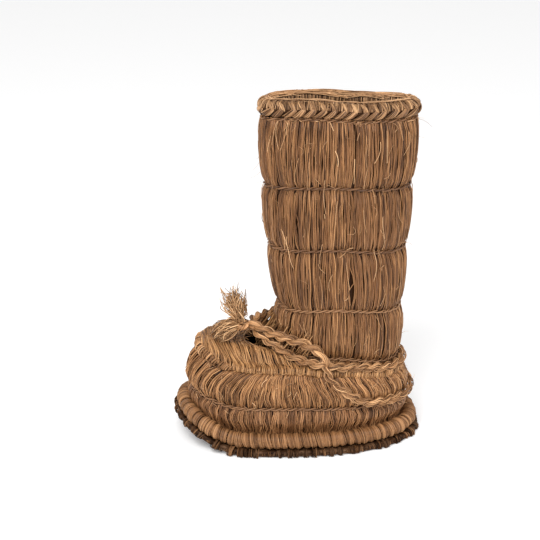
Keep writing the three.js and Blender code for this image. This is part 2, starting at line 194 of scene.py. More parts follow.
def strawMaterial(name, finish, source):
    middle, bumpSize, contrast = finishes[finish]
    material = bpy.data.materials.new(name)
    material.use_nodes = True
    tree = material.node_tree
    shader = tree.nodes["Principled BSDF"]
    place = tree.nodes.new("ShaderNodeTexCoord").outputs["Object"]
    if source == "strand":
        tint, along = attribute(tree, "tint", "Fac"), attribute(tree, "along", "Fac")
        shift = tree.nodes.new("ShaderNodeCombineXYZ")
        tree.links.new(mathNode(tree, "MULTIPLY", along, grainLook["alongScale"]), shift.inputs[2])
        tree.links.new(mathNode(tree, "MULTIPLY", tint, grainLook["tintShift"]), shift.inputs[0])
        ring = vectorNode(tree, "MULTIPLY", attribute(tree, "ring", "Vector"), (grainLook["ringScale"],) * 3)
        fibre = vectorNode(tree, "ADD", ring, shift.outputs[0])
    else:
        fibre = vectorNode(tree, "MULTIPLY", place, source)
        tint = noiseNode(tree, fibre, grainLook["skinTintScale"], 1)
    grain = tree.nodes.new("ShaderNodeGroup")
    grain.node_tree = strawGrain
    for socket, value in (("Fibre", fibre), ("Place", place), ("Tint", tint)):
        tree.links.new(value, grain.inputs[socket])
    for socket, shares in (("Dark", darkShare), ("Mid", (1, 1, 1)), ("Light", lightShare)):
        grain.inputs[socket].default_value = (*(min(1, m * s ** contrast) for m, s in zip(middle, shares)), 1)
    bump = tree.nodes.new("ShaderNodeBump")
    bump.inputs["Strength"].default_value = grainLook["bump"]
    bump.inputs["Distance"].default_value = bumpSize * metre
    tree.links.new(grain.outputs["Height"], bump.inputs["Height"])
    tree.links.new(bump.outputs["Normal"], shader.inputs["Normal"])
    tree.links.new(grain.outputs["Colour"], shader.inputs["Base Color"])
    tree.links.new(grain.outputs["Roughness"], shader.inputs["Roughness"])
    gloss = grainLook["dullGloss" if finish in dullFinishes else "gloss"]
    shader.inputs["Specular IOR Level"].default_value = gloss
    return material


straw = {finish: strawMaterial(finish, finish, "strand") for finish in finishes}
print("materials made")


# The boot's forms: outlines in plan, and skins of rings that straws are laid on

def mix(low, high, share):
    return low + (high - low) * share


def arch(share):
    return np.sin(np.pi * share)


def dome(spot):
    return np.sqrt(np.clip(1 - spot ** 2, 0, 1))


def evenShares(count):
    return (np.arange(count) + 0.5) / count


def smoothStep(value):
    held = np.clip(value, 0, 1)
    return held * held * (3 - 2 * held)


def catmullRom(a, b, c, d, t):
    square, cube = 2 * a - 5 * b + 4 * c - d, 3 * b - a - 3 * c + d
    return 0.5 * (2 * b + (c - a) * t + square * t ** 2 + cube * t ** 3)


def lengthAlong(line):
    return np.concatenate([[0], np.cumsum(np.linalg.norm(np.diff(line, axis=0), axis=1))])


def evenly(line, shares):
    length = lengthAlong(line)
    return np.stack([np.interp(shares * length[-1], length, column) for column in line.T], 1), length[-1]


def planRing(outline, count=240):
    angle = np.linspace(0, 2 * np.pi, 1441)  # quarter degrees
    cos, sin = np.cos(angle), np.sin(angle)
    fold = outline.get("fold", 0)
    power = np.where(cos > 0, outline["toePower"], outline["heelPower"])
    reach = np.where(cos > 0, outline["front"] - outline["mid"], outline["mid"] - outline["back"]) - fold
    x = outline["mid"] + reach * np.sign(cos) * np.abs(cos) ** (2 / power)
    y = (outline["half"] - fold) * np.sign(sin) * np.abs(sin) ** (2 / power)
    core = np.stack([x, y], 1)[:-1]
    along = np.roll(core, -1, 0) - np.roll(core, 1, 0)
    along /= np.linalg.norm(along, axis=1)[:, None]
    line = core + fold * np.stack([along[:, 1], -along[:, 0]], 1)
    return evenly(np.vstack([line, line[:1]]), np.arange(count) / count)[0]


def soleOutline(inset):
    return {
        "front": boot["soleLength"] / 2 - inset, "back": inset - boot["soleLength"] / 2, "mid": 0,
        "half": boot["soleWidth"] / 2 - inset,
        "toePower": boot["soleToePower"], "heelPower": boot["soleHeelPower"],
    }


def grown(outline, growth):
    return {**outline, "front": outline["front"] + growth, "back": outline["back"] - growth,
            "half": outline["half"] + growth}


def springAt(x):
    share = np.clip((x - boot["springStart"]) / (boot["soleLength"] / 2 - boot["springStart"]), 0, None)
    return boot["toeSpring"] * share ** boot["springPower"]


def soleTop(x):
    return boot["soleThick"] + springAt(x)


def seamLine(x):
    toThroat = smoothStep((x - boot["ankleMid"]) / (boot["throatFront"] - boot["ankleMid"]))
    toHeel = smoothStep((boot["ankleMid"] - x) / (boot["ankleMid"] - boot["ankleBack"]))
    return boot["seamHeight"] + boot["seamRise"] * toThroat - boot["seamDrop"] * toHeel


footInset = boot["weltThick"] + boot["seatGap"] + boot["bundleDepth"] / 2
footBase = soleOutline(footInset)
ledge = {
    "front": boot["throatFront"] + boot["shaftWall"] + boot["ledgeMargin"],
    "back": boot["ankleBack"] - boot["ledgeMargin"], "mid": boot["ankleMid"],
    "half": boot["ankleWidth"] / 2 + boot["ledgeMargin"],
    "toePower": boot["shaftPower"], "heelPower": boot["shaftPower"],
}

# Shares at each level of the foot: height at the side, height at the toe, closing, swell
footLevels = {
    "lowBelly": (0.17, -0.07, 0, 0.7), "lowerTwine": (0.35, 0.1, 0, 0.25), "belly": (0.64, 0.32, 0, 0.9),
    "shoulder": (0.83, 0.56, 0.03, 0.5), "upperTwine": (0.925, 0.79, 0.19, 0),
    "toeRidge": (0.955, 1, 0.27, 0.15), "vamp": (0.98, 0.99, 0.62, 0),
}
seatShares = (0, 0.5, 1)  # the lowest rings, where the welt lies against the foot
footLevelAt = {name: len(seatShares) + i for i, name in enumerate(footLevels)}


def footSkin():
    rings = []
    for share in seatShares:
        plan = planRing(footBase)
        z = soleTop(plan[:, 0]) + boot["seatGap"] + share * boot["weltThick"]
        rings.append(np.column_stack([plan, z]))
    weltTop = boot["soleThick"] + boot["weltThick"] + 3 * boot["seatGap"]
    for side, toe, close, swell in footLevels.values():
        closed = {key: mix(footBase[key], ledge[key], close) for key in footBase}
        outline = grown(closed, boot["footSwell"] * swell)
        plan = planRing(outline)
        forward = (plan[:, 0] - boot["toeRiseStart"]) / (outline["front"] - boot["toeRiseStart"])
        atToe = smoothStep(forward) ** boot["toeRisePower"]
        low = mix(weltTop, seamLine(np.minimum(plan[:, 0], 0)), side)
        high = mix(weltTop + boot["toeSpring"], boot["toeHeight"], toe)
        rings.append(np.column_stack([plan, mix(low, high, atToe)]))
    for growth in (0, -boot["shaftWall"] - 2 * boot["ledgeMargin"]):
        plan = planRing(grown(ledge, growth))
        rings.append(np.column_stack([plan, seamLine(plan[:, 0])]))
    return np.array(rings)


# Shares at each row of the shaft: height, front, back, width, drop towards the front
shaftRows = (
    (0, 0, 0, 0, 0), (0.04, 0, 0, 0, 0), (0.245, 0, 0.1, 0.08, 1), (0.487, 0.55, 0.35, 0.36, 0.75),
    (0.732, 0.8, 0.65, 0.72, 0.5), (0.986, 0.97, 0.97, 0.98, 0), (1, 1, 1, 1, 0),
)
bandSteps = 8


def collarLine(x):
    return boot["collarHeight"] - boot["collarSag"] * np.minimum(1, (x / boot["sagReach"]) ** 2)


def shaftSkin(extra=0):
    rings = []
    for step in range((len(shaftRows) - 1) * bandSteps + 1):
        r = min(step // bandSteps, len(shaftRows) - 2)
        share = step / bandSteps - r
        height, front, back, width, drop = mix(np.array(shaftRows[r]), np.array(shaftRows[r + 1]), share)
        puff = boot["shaftSwell"] * math.sin(math.pi * share) ** 0.6 if 1 <= r <= 4 and 0 < share < 1 else 0
        growth = puff + extra
        outline = {
            "front": mix(boot["ankleFront"], boot["collarFront"], front) + growth,
            "back": mix(boot["ankleBack"], boot["collarBack"], back) - growth, "mid": boot["ankleMid"],
            "half": mix(boot["ankleWidth"], boot["collarWidth"], width) / 2 + growth,
            "toePower": boot["shaftPower"], "heelPower": boot["shaftPower"],
            "fold": boot["foldRadius"] + growth,
        }
        plan = planRing(outline)
        toFront = smoothStep((plan[:, 0] - outline["mid"]) / (outline["front"] - outline["mid"]))
        top = collarLine(plan[:, 0]) - boot["rollThick"] / 2 - boot["seatGap"]
        z = mix(seamLine(plan[:, 0]) + boot["seatGap"], top, height) - boot["rowDrop"] * drop * toFront
        rings.append(np.column_stack([plan, z]))
    return np.array(rings)


def onSkin(rings, around, level):
    around, level = np.broadcast_arrays(around, level)
    count, top = rings.shape[1], len(rings) - 1
    place = (around % 1) * count
    i = np.floor(place).astype(int) % count
    share = (place - np.floor(place))[..., None]
    held = np.clip(level, 0, top)
    r = np.minimum(np.floor(held).astype(int), top - 1)
    t = (held - r)[..., None]

    def column(row):
        row = np.clip(row, 0, top)
        return rings[row, i] * (1 - share) + rings[row, (i + 1) % count] * share

    return catmullRom(column(r - 1), column(r), column(r + 1), column(r + 2), t)


def unit(vectors):
    return vectors / np.maximum(np.linalg.norm(vectors, axis=-1, keepdims=True), 1e-9)


def skinFrame(rings, around, level):
    point = onSkin(rings, around, level)
    aside, above = 0.003, 0.1  # steps to either side that give the two directions
    along = unit(onSkin(rings, around + aside, level) - onSkin(rings, around - aside, level))
    up = unit(onSkin(rings, around, level + above) - onSkin(rings, around, level - above))
    return point, unit(np.cross(along, up)), along


foot = footSkin()
shaft = shaftSkin()


# Straws: tubes swept along many lines by one node tree

def makeTubeTree():
    tree = bpy.data.node_groups.new("strawTubes", "GeometryNodeTree")
    tree.interface.new_socket(name="Lines", in_out="INPUT", socket_type="NodeSocketGeometry")
    tree.interface.new_socket(name="Sides", in_out="INPUT", socket_type="NodeSocketInt")
    tree.interface.new_socket(name="Tubes", in_out="OUTPUT", socket_type="NodeSocketGeometry")
    add, link = tree.nodes.new, tree.links.new
    given, made = add("NodeGroupInput"), add("NodeGroupOutput")

    def store(name, kind, value, geometry):
        node = add("GeometryNodeStoreNamedAttribute")
        node.data_type = kind
        node.domain = "POINT"
        node.inputs["Name"].default_value = name
        link(geometry, node.inputs["Geometry"])
        link(value, node.inputs["Value"])
        return node.outputs["Geometry"]

    random = add("FunctionNodeRandomValue")
    random.data_type = "FLOAT"
    link(add("GeometryNodeInputIndex").outputs[0], random.inputs["ID"])
    perLine = add("GeometryNodeFieldOnDomain")
    perLine.data_type = "FLOAT"
    perLine.domain = "CURVE"
    link(random.outputs[1], perLine.inputs[0])
    length = add("GeometryNodeSplineParameter").outputs["Length"]
    lines = store("along", "FLOAT", length, given.outputs["Lines"])
    lines = store("tint", "FLOAT", perLine.outputs[0], lines)
    circle = add("GeometryNodeCurvePrimitiveCircle")
    circle.inputs["Radius"].default_value = 1
    link(given.outputs["Sides"], circle.inputs["Resolution"])
    place = add("GeometryNodeInputPosition").outputs[0]
    profile = store("ring", "FLOAT_VECTOR", place, circle.outputs["Curve"])
    sweep = add("GeometryNodeCurveToMesh")
    link(lines, sweep.inputs["Curve"])
    link(profile, sweep.inputs["Profile Curve"])
    sweep.inputs["Fill Caps"].default_value = True
    link(add("GeometryNodeInputRadius").outputs[0], sweep.inputs["Scale"])
    smooth = add("GeometryNodeSetShadeSmooth")
    link(sweep.outputs[0], smooth.inputs["Geometry"])
    link(smooth.outputs[0], made.inputs[0])
    return tree


tubeTree = makeTubeTree()


def strawPiece(name, bunches, finish, sides=3, closed=False):
    lines = bpy.data.curves.new(name + "Lines", "CURVE")
    lines.dimensions = "3D"
    for points, radii in bunches:
        radii = np.broadcast_to(radii, np.shape(points)[:-1]).reshape(-1, np.shape(points)[-2])
        points = np.reshape(points, (-1, *np.shape(points)[-2:]))
        for line, radius in zip(points, radii):
            spline = lines.splines.new("POLY")
            spline.points.add(len(line) - 1)
            spline.points.foreach_set("co", np.column_stack([line * metre, np.ones(len(line))]).ravel())
            spline.points.foreach_set("radius", np.ascontiguousarray(radius * metre))
            spline.use_cyclic_u = closed
    carrier = bpy.data.objects.new(name + "Lines", lines)
    bpy.context.collection.objects.link(carrier)
    sweep = carrier.modifiers.new("tubes", "NODES")
    sweep.node_group = tubeTree
    sidesInput = next(s.identifier for s in tubeTree.interface.items_tree if s.name == "Sides")
    sweep[sidesInput] = sides
    graph = bpy.context.evaluated_depsgraph_get()
    mesh = bpy.data.meshes.new_from_object(carrier.evaluated_get(graph), preserve_all_data_layers=True,
                                           depsgraph=graph)
    mesh.name = name
    bpy.data.objects.remove(carrier)
    bpy.data.curves.remove(lines)
    mesh.materials.clear()
    mesh.materials.append(straw[finish])
    piece = bpy.data.objects.new(name, mesh)
    bpy.context.collection.objects.link(piece)
    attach(piece, "root")
    print(name, len(mesh.polygons) * 2, "triangles")
    return piece


def vary(low, high, count):
    return rng.uniform(low, high, (count, 1))


def jitter(size, count):
    return vary(-size, size, count)


def wander(shape, steps, size, waves=1.5):
    u = np.linspace(0, 1, steps)
    phase = rng.uniform(0, 2 * np.pi, (2, *shape, 1))
    rate = rng.uniform(0.5, 1.5, (2, *shape, 1)) * waves
    slow = np.sin(2 * np.pi * rate[0] * u + phase[0])
    return size * (slow + 0.5 * np.sin(4 * np.pi * rate[1] * u + phase[1]))


def pinchAt(level, rows, width):
    pinch = np.zeros_like(level)
    for row in rows:
        pinch = np.maximum(pinch, np.exp(-((level - row) / width) ** 2))
    return pinch


# What all bundles share: how much straws differ, and how a twine row draws them in
bundleLook = {
    "spotVary": 0.1, "widthVary": (0.9, 1.12), "flatten": 0.7, "sink": 1.5, "uneven": 0.2,
    "thinning": 0.25, "notchFade": 3,
}
radiusVary = (0.7, 1.25)


def layBundles(skin, middles, tops, levels, rows, look):
    count, straws, steps, girth = len(middles), look["straws"], len(levels), look["girth"]
    u = (levels - levels[0]) / (levels[-1] - levels[0])
    pinch = pinchAt(levels, rows, look["rowWidth"])
    spot = evenShares(straws) * 2 - 1
    moved = bundleLook["spotVary"]
    spot = spot[:, None] + rng.uniform(-moved, moved, (count, straws, 1))
    spot = spot + wander((count, straws), steps, look["stray"], look["waves"])
    centre = middles[:, None, None] + (tops - middles)[:, None, None] * smoothStep(u)
    centre = centre + wander((count, 1), steps, look["drift"] / girth, 1)
    half = look["halfWidth"] / girth * rng.uniform(*bundleLook["widthVary"], (count, 1, 1))
    around = centre + spot * half * (1 - look["gather"] * pinch)
    for middle, level, width, height in look["notches"]:
        near = np.exp(-((around - middle) * girth / (bundleLook["notchFade"] * width)) ** 2)
        across = np.exp(-((levels - level) / height) ** 2)
        around = around + np.sign(around - middle) * near * across * width / girth
    crown = look["depth"] * dome(spot) * (1 - bundleLook["flatten"] * pinch)
    lift = look["lift"] + crown - bundleLook["sink"] * pinch
    lift = lift + look["layer"] * rng.uniform(-1, 1, (count, straws, 1))
    lift = lift + wander((count, straws), steps, bundleLook["uneven"])
    point, normal, _ = skinFrame(skin, around, levels)
    radius = look["radius"] * rng.uniform(*radiusVary, (count, straws, 1))
    radius = radius * (1 - bundleLook["thinning"] * pinch)
    return point + normal * (lift * look["side"])[..., None], np.broadcast_to(radius, around.shape)


# Shaft: bundles from the ankle to the rim, pinched at each twine row. A notch is a dark gap between
# straws: its place round the shaft, level, half width and height in levels.
rimRow = 5.55 * bandSteps  # the highest twine row, close under the collar's roll
twineRows = [r * bandSteps for r in range(1, 5)] + [rimRow]
shaftLook = {
    "bundles": 42, "straws": 15, "halfWidth": 4.9, "gather": 0.3, "depth": 1.7, "lift": 0.6, "layer": 0.5,
    "radius": 0.64, "drift": 0.9, "girth": 380, "rowWidth": 0.75, "waves": 4, "stray": 0.14, "side": 1,
    "stepsPerBand": 8, "placeVary": 0.002, "notches": ((0.277, 19.5, 2.6, 2.2), (0.13, 28, 1.3, 1.6)),
}
liningLook = {
    "bundles": 40, "straws": 8, "halfWidth": 4.6, "gather": 0.2, "depth": 0.8, "lift": 0.2, "layer": 0.2,
    "radius": 0.75, "drift": 0.7, "girth": 340, "rowWidth": 0.8, "waves": 2, "stray": 0.1, "side": -1,
    "steps": 16, "notches": (),
}


def makeShaftWall():
    top = len(shaft) - 1
    bands = np.linspace(bandSteps, 5 * bandSteps, 4 * shaftLook["stepsPerBand"] + 1)
    levels = np.concatenate([[0, bandSteps / 2], bands, [rimRow, top]])
    count, moved = shaftLook["bundles"], shaftLook["placeVary"]
    middles = evenShares(count) + rng.uniform(-moved, moved, count)
    for side, chosen in (("left", middles[:count // 2]), ("right", middles[count // 2:])):
        bunch = layBundles(shaft, chosen, chosen, levels, twineRows, shaftLook)
        strawPiece("shaft_straws_" + side, [bunch], "shaftStraw")
    middles = evenShares(liningLook["bundles"])
    levels = np.linspace(bandSteps, top, liningLook["steps"])
    bunch = layBundles(shaftSkin(-boot["shaftWall"]), middles, middles, levels, twineRows, liningLook)
    strawPiece("shaft_lining", [bunch], "liningStraw")


# Foot wall: from the welt to the lower twine, and from there to the upper twine
footLook = {
    "bundles": 66, "straws": 12, "halfWidth": 5.4, "gather": 0.24, "depth": 1.7, "lift": 0.6, "layer": 0.55,
    "radius": 0.68, "drift": 0.9, "girth": 690, "rowWidth": 0.25, "waves": 1.5, "stray": 0.09, "side": 1,
    "placeVary": 0.001, "start": 1.3, "lowSteps": 9, "wallSteps": 14, "notches": (),
}

# Where a straw at the lower twine, as a share of the way round, meets the upper twine
wallFan = (
    (0, 0), (0.04, 0.045), (0.09, 0.112), (0.15, 0.168), (0.2, 0.2), (0.3, 0.27), (0.4, 0.38), (0.5, 0.5),
)


def fanned(shares):
    side = np.minimum(shares, 1 - shares)
    moved = np.interp(side, *zip(*wallFan))
    return np.where(shares <= 0.5, moved, 1 - moved)


def makeFootWall():
    count, moved = footLook["bundles"], footLook["placeVary"]
    middles = evenShares(count) + rng.uniform(-moved, moved, count)
    lower, upper = footLevelAt["lowerTwine"], footLevelAt["upperTwine"]
    levels = np.linspace(footLook["start"], lower, footLook["lowSteps"])
    low = layBundles(foot, middles, middles, levels, [lower], footLook)
    strawPiece("foot_low_straws", [low], "lowStraw")
    levels = np.linspace(lower, upper, footLook["wallSteps"])
    wall = layBundles(foot, middles, fanned(middles), levels, [lower, upper], footLook)
    strawPiece("foot_wall_straws", [wall], "footStraw")


# The vamp's pad: straws that rise side by side from the upper twine and bend to the toe near their
# tops. Towards the heel they keep to their own share of the way round instead.
padLook = {
    "straws": 940, "radius": 0.64, "steps": 17, "rows": 41, "lean": 13, "leanVary": (0.6, 1.3), "bend": 4,
    "leanFront": 106, "frontFade": 25, "leanBack": -15, "backFade": 40, "heel": 0.25, "heelFade": 0.1,
    "lift": 1.2, "layer": 0.7, "uneven": 0.3, "plump": 2.4, "plumpFade": 15, "clump": 0.3,
    "clumpRates": (66, 41), "pinch": 1.6, "rowWidth": 0.2, "stray": 0.0014, "fray": 0.02,
}


def makePad():
    look, count = padLook, padLook["straws"]
    upper, top = footLevelAt["upperTwine"], len(foot) - 1
    place, rows = np.linspace(0, 0.5, foot.shape[1] // 2 + 1), np.linspace(upper, top, look["rows"])
    rowX = onSkin(foot, place[None, :], rows[:, None])[..., 0]
    u = np.linspace(0, 1, look["steps"])
    starts = (np.arange(count)[:, None] + vary(0, 1, count)) / count
    own = np.minimum(starts, 1 - starts)
    x = np.interp(own, place, rowX[0])
    lean = look["lean"] * smoothStep((look["leanFront"] - x) / look["frontFade"])
    lean = lean * smoothStep((x - look["leanBack"]) / look["backFade"]) * vary(*look["leanVary"], count)
    last = np.interp(-x - lean, -rowX[:, 0], rows)
    levels = upper + (last - upper) * u
    x = x + lean * u ** look["bend"]
    moved = np.array([np.interp(-x, -row, place) for row in rowX])
    at = (levels - upper) / (top - upper) * (len(rows) - 1)
    i = np.minimum(np.floor(at).astype(int), len(rows) - 2)
    low, high = (np.take_along_axis(moved, (i + step)[None], 0)[0] for step in (0, 1))
    share = mix(mix(low, high, at - i), own, smoothStep((own - look["heel"]) / look["heelFade"]))
    share = share + wander((count,), len(u), look["stray"], 1)
    share = share - vary(0, look["fray"], count) * u ** look["bend"]
    share = np.where(starts <= 0.5, share, 1 - share)
    point, normal, _ = skinFrame(foot, share, levels)
    clump = sum(np.sin(2 * np.pi * rate * starts) for rate in look["clumpRates"])
    ahead = smoothStep((look["leanFront"] - x) / look["plumpFade"])
    lift = look["lift"] + look["plump"] * arch(u ** 0.7) * ahead + look["clump"] * clump
    lift = lift + jitter(look["layer"], count) + wander((count,), len(u), look["uneven"])
    lift = lift - look["pinch"] * pinchAt(levels, [upper], look["rowWidth"])
    bunch = (point + normal * lift[..., None], look["radius"] * vary(*radiusVary, count))
    strawPiece("vamp_pad_straws", [bunch], "padStraw")


# Throat: a fan of straws that spring from the shaft's front foot, and others that lie over the
# vamp's edge. Their places are shares of the way round, and levels on the shaft or foot.
throatLook = {
    "radius": 0.55, "radiusVary": (0.7, 1.3), "taper": 0.5, "steps": 9,
    "fan": {"straws": 200, "around": (-0.15, 0.17), "root": (8, 13), "narrow": 0.9, "rim": 1.4,
            "reach": (0.15, 0.62), "height": (-12, 5), "lift": 2, "bow": 7, "fray": 2.5},
    "edge": {"straws": 70, "around": (-0.2, 0.22), "sweep": 0.04, "start": (9.7, 10.3), "end": (10.5, 11),
             "lift": 1.6, "bow": 2, "inward": 9, "drop": (-1, 5)},
}


def throatFan(u):
    look, count = throatLook["fan"], throatLook["fan"]["straws"]
    share = vary(*look["around"], count)
    root, normal, _ = skinFrame(shaft, share, vary(*look["root"], count))
    rim = onSkin(foot, share * look["narrow"], len(foot) - look["rim"])
    end = mix(root, rim, rng.uniform(*look["reach"], (count, 1, 1)))
    end[..., 2] = rim[..., 2] + vary(*look["height"], count)
    bow = look["lift"] + vary(0, look["bow"], count) * arch(u)
    fan = mix(root, end, u[:, None]) + normal * bow[..., None]
    return fan + rng.normal(0, 1, (count, 1, 3)) * (look["fray"] * u[:, None] ** 2)


def throatEdge(u):
    look, count = throatLook["edge"], throatLook["edge"]["straws"]
    share = vary(*look["around"], count) + jitter(look["sweep"], count) * u
    level = mix(vary(*look["start"], count), vary(*look["end"], count), u)
    point, normal, _ = skinFrame(foot, share, level)
    inward = unit(onSkin(foot, share, len(foot) - 1.0) - onSkin(foot, share, len(foot) - 2.0))
    lift = look["lift"] + vary(0, look["bow"], count) * arch(u)
    edge = point + normal * lift[..., None] + inward * (vary(0, look["inward"], count) * u ** 2)[..., None]
    edge[..., 2] -= vary(*look["drop"], count) * u ** 3
    return edge


def makeThroatStraws():
    u = np.linspace(0, 1, throatLook["steps"])
    fan, edge = throatFan(u), throatEdge(u)
    fanRadius, edgeRadius = (
        throatLook["radius"] * vary(*throatLook["radiusVary"], len(part)) for part in (fan, edge)
    )
    strawPiece("throat_straws", [(fan, fanRadius * (1 - throatLook["taper"] * u)), (edge, edgeRadius)],
               "padStraw")


# Twine rows: two plies that cross between the bundles. Strays and pace are sizes with their waves
# round the boot.
twineLook = {
    "stitch": 9.2, "radius": 0.9, "over": 1.5, "across": 1, "lift": 1, "points": 330,
    "strays": ((0.35, 5), (0.2, 17)), "pace": (0.5, 11),
}


def twineRow(skin, level):
    shares = np.linspace(0, 1, twineLook["points"], endpoint=False)
    point, normal, along = skinFrame(skin, shares, np.full_like(shares, level))
    up = np.cross(normal, along)
    length = lengthAlong(point)
    total = length[-1] + np.linalg.norm(point[0] - point[-1])
    turns = round(total / twineLook["stitch"] / 2)
    swings = [
        size * np.sin(2 * np.pi * waves * shares + rng.uniform(0, 2 * np.pi))
        for size, waves in (*twineLook["strays"], twineLook["pace"])
    ]
    plies = []
    for start in (0, math.pi):
        angle = start + 2 * np.pi * turns * length / total + swings[2]
        plies.append(point + normal * (twineLook["lift"] + twineLook["over"] * np.cos(angle))[:, None]
                     + up * (swings[0] + swings[1] + twineLook["across"] * np.sin(angle))[:, None])
    return np.array(plies), twineLook["radius"]


def makeTwine():
    rows = [twineRow(shaft, level) for level in twineRows]
    strawPiece("shaft_twine", rows, "twineStraw", sides=5, closed=True)
    rows = [twineRow(foot, footLevelAt[name]) for name in ("lowerTwine", "upperTwine")]
    strawPiece("foot_twine", rows, "twineStraw", sides=5, closed=True)


makeShaftWall()
makeFootWall()
makePad()
makeThroatStraws()
makeTwine()
print("walls laid")


# Rolls: a core wound with straw. An angle on a roll is 0 outwards and a quarter turn downwards.

def rollFrame(line):
    along = unit(np.roll(line, -1, 0) - np.roll(line, 1, 0))
    out = unit(np.column_stack([along[:, 1], -along[:, 0], np.zeros(len(line))]))
    return out, np.cross(out, along)


def pointAt(line, share):
    place = (share % 1) * len(line)
    i = np.floor(place).astype(int) % len(line)
    part = (place - np.floor(place))[..., None]
    return line[i] * (1 - part) + line[(i + 1) % len(line)] * part


def wind(line, share, angle, radius):
    out, up = rollFrame(line)
    share, angle, radius = np.broadcast_arrays(share, angle, radius)
    return pointAt(line, share) + unit(pointAt(out, share)) * (radius * np.cos(angle))[..., None] \
        - unit(pointAt(up, share)) * (radius * np.sin(angle))[..., None]


# A roll's core is drawn in the near-black finish, as painted shade that shows between its wraps and strokes.
def rollCore(name, line, thick):
    strawPiece(name, [([line[::3]], thick / 2)], "paintedShadeStraw", sides=12, closed=True)


# The welt's wraps lie in even lumps, from stitch to stitch
weltLook = {
    "lumps": 80, "straws": 9, "radius": 0.76, "radiusVary": (0.8, 1.15), "lumpDepth": 3, "steps": 16,
    "coreThick": 13, "points": 620, "placeVary": 0.0003, "lumpPlaceVary": 0.0006, "lean": 0.002,
    "lumpLeanVary": (-0.0012, 0.002), "leanVary": 0.0004, "lumpSizeVary": (-0.6, 0.4), "sizeVary": 0.2,
}


def makeWelt():
    look = weltLook
    plan = planRing(soleOutline(boot["weltThick"] / 2), look["points"])
    slope = (springAt(plan[:, 0] + 1) - springAt(plan[:, 0] - 1)) / 2
    rest = (boot["weltThick"] / 2 + boot["seatGap"]) * np.hypot(1, slope)
    line = np.column_stack([plan, soleTop(plan[:, 0]) + rest])
    lumps, per = look["lumps"], look["straws"]
    count = lumps * per

    def perLump(low, high):
        return rng.uniform(low, high, lumps).repeat(per)

    def perStraw(size):
        return rng.uniform(-size, size, count)

    starts = evenShares(count) + perStraw(look["placeVary"])
    starts = starts + perLump(-look["lumpPlaceVary"], look["lumpPlaceVary"])
    lean = look["lean"] + perLump(*look["lumpLeanVary"]) + perStraw(look["leanVary"])
    size = perLump(*look["lumpSizeVary"]) + perStraw(look["sizeVary"])
    crown = np.sqrt(np.sin(np.pi * ((np.arange(count) + 0.5) / per % 1)))
    radius = boot["weltThick"] / 2 - look["radius"] - look["lumpDepth"] * (1 - crown) + size
    angle = np.linspace(0, 2 * np.pi, look["steps"], endpoint=False)
    wraps = wind(line, starts[:, None] + lean[:, None] * np.sin(angle), angle, radius[:, None])
    piece = strawPiece("welt_wraps", [(wraps, look["radius"] * vary(*look["radiusVary"], count))],
                       "weltStraw", closed=True)
    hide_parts("welt_roll")
    rollCore("welt_core", line, look["coreThick"])


# Strokes of the collar's plait: angles where each starts and ends, its run, width, crown and straws.
# The upper row's strokes lie among the wraps on top, and the lower row's over the core, painted near-black as
# the shade between them.
collarLook = {
    "points": 480, "coreThick": 14.5, "wraps": 262, "wrapRadius": 0.76, "wrapVary": (0.6, 1.2),
    "wrapArc": (-3.3, -0.1), "wrapSteps": 10, "wrapSlant": 0.003, "wrapSink": 0.6, "lumps": 61,
    "lumpDepth": 0.5, "wrapSizeVary": (-0.5, 0.4), "strokes": 33, "strokeRadius": 0.7, "strokeSink": 1.1,
    "strokeSteps": 11, "placeVary": 1, "spotVary": 0.12, "runVary": (0.85, 1.15), "tipWidth": 0.3,
    "slant": 0.12, "edgeCrown": 0.4, "strokeSizeVary": 0.3,
    "lower": {"from": 1.75, "to": -0.15, "run": 14, "half": 3, "crown": 2.3, "straws": 8, "shift": 0},
    "upper": {"from": -1.3, "to": 0.0, "run": 5, "half": 2.4, "crown": 1.1, "straws": 5, "shift": 0.45},
}
strayLook = {
    "straws": 130, "radius": 0.5, "radiusVary": (0.6, 1.3), "steps": 14, "farShare": 0.7, "run": (15, 60),
    "angle": (-2.5, -1.7), "turn": 0.6, "lift": 0.5, "bow": (-0.4, 1.6),
}


def plaitStrokes(line, total, stroke):
    look, count, per = collarLook, collarLook["strokes"], stroke["straws"]
    v = np.linspace(0, 1, look["strokeSteps"])
    leaf = arch(v) ** 0.6
    place = (np.arange(count) + stroke["shift"]) / count * total
    place = (place + rng.uniform(-look["placeVary"], look["placeVary"], count))[:, None, None]
    spot = np.linspace(-1, 1, per)[:, None]
    spot = spot + rng.uniform(-look["spotVary"], look["spotVary"], (count, per, 1))
    run = stroke["run"] * rng.uniform(*look["runVary"], (count, 1, 1))
    width = stroke["half"] * mix(look["tipWidth"], 1, leaf)
    share = (place + run * (v - 0.5) + spot * width) / total
    angle = mix(stroke["from"], stroke["to"], v) + look["slant"] * spot
    crown = stroke["crown"] * mix(look["edgeCrown"], 1, dome(spot)) * leaf
    full = boot["rollThick"] / 2 - look["strokeRadius"] - look["strokeSink"]
    return wind(line, share, angle, full + crown + rng.uniform(0, look["strokeSizeVary"], spot.shape))


def collarWraps(line):
    look, count = collarLook, collarLook["wraps"]
    starts = evenShares(count)[:, None]
    angle = np.linspace(*look["wrapArc"], look["wrapSteps"])
    slant = jitter(look["wrapSlant"], count) * np.sin(angle + 1)
    lump = look["lumpDepth"] * np.sin(2 * np.pi * starts * look["lumps"])
    full = boot["rollThick"] / 2 - look["wrapRadius"] - look["wrapSink"]
    return wind(line, starts + slant, angle, full + lump + vary(*look["wrapSizeVary"], count))


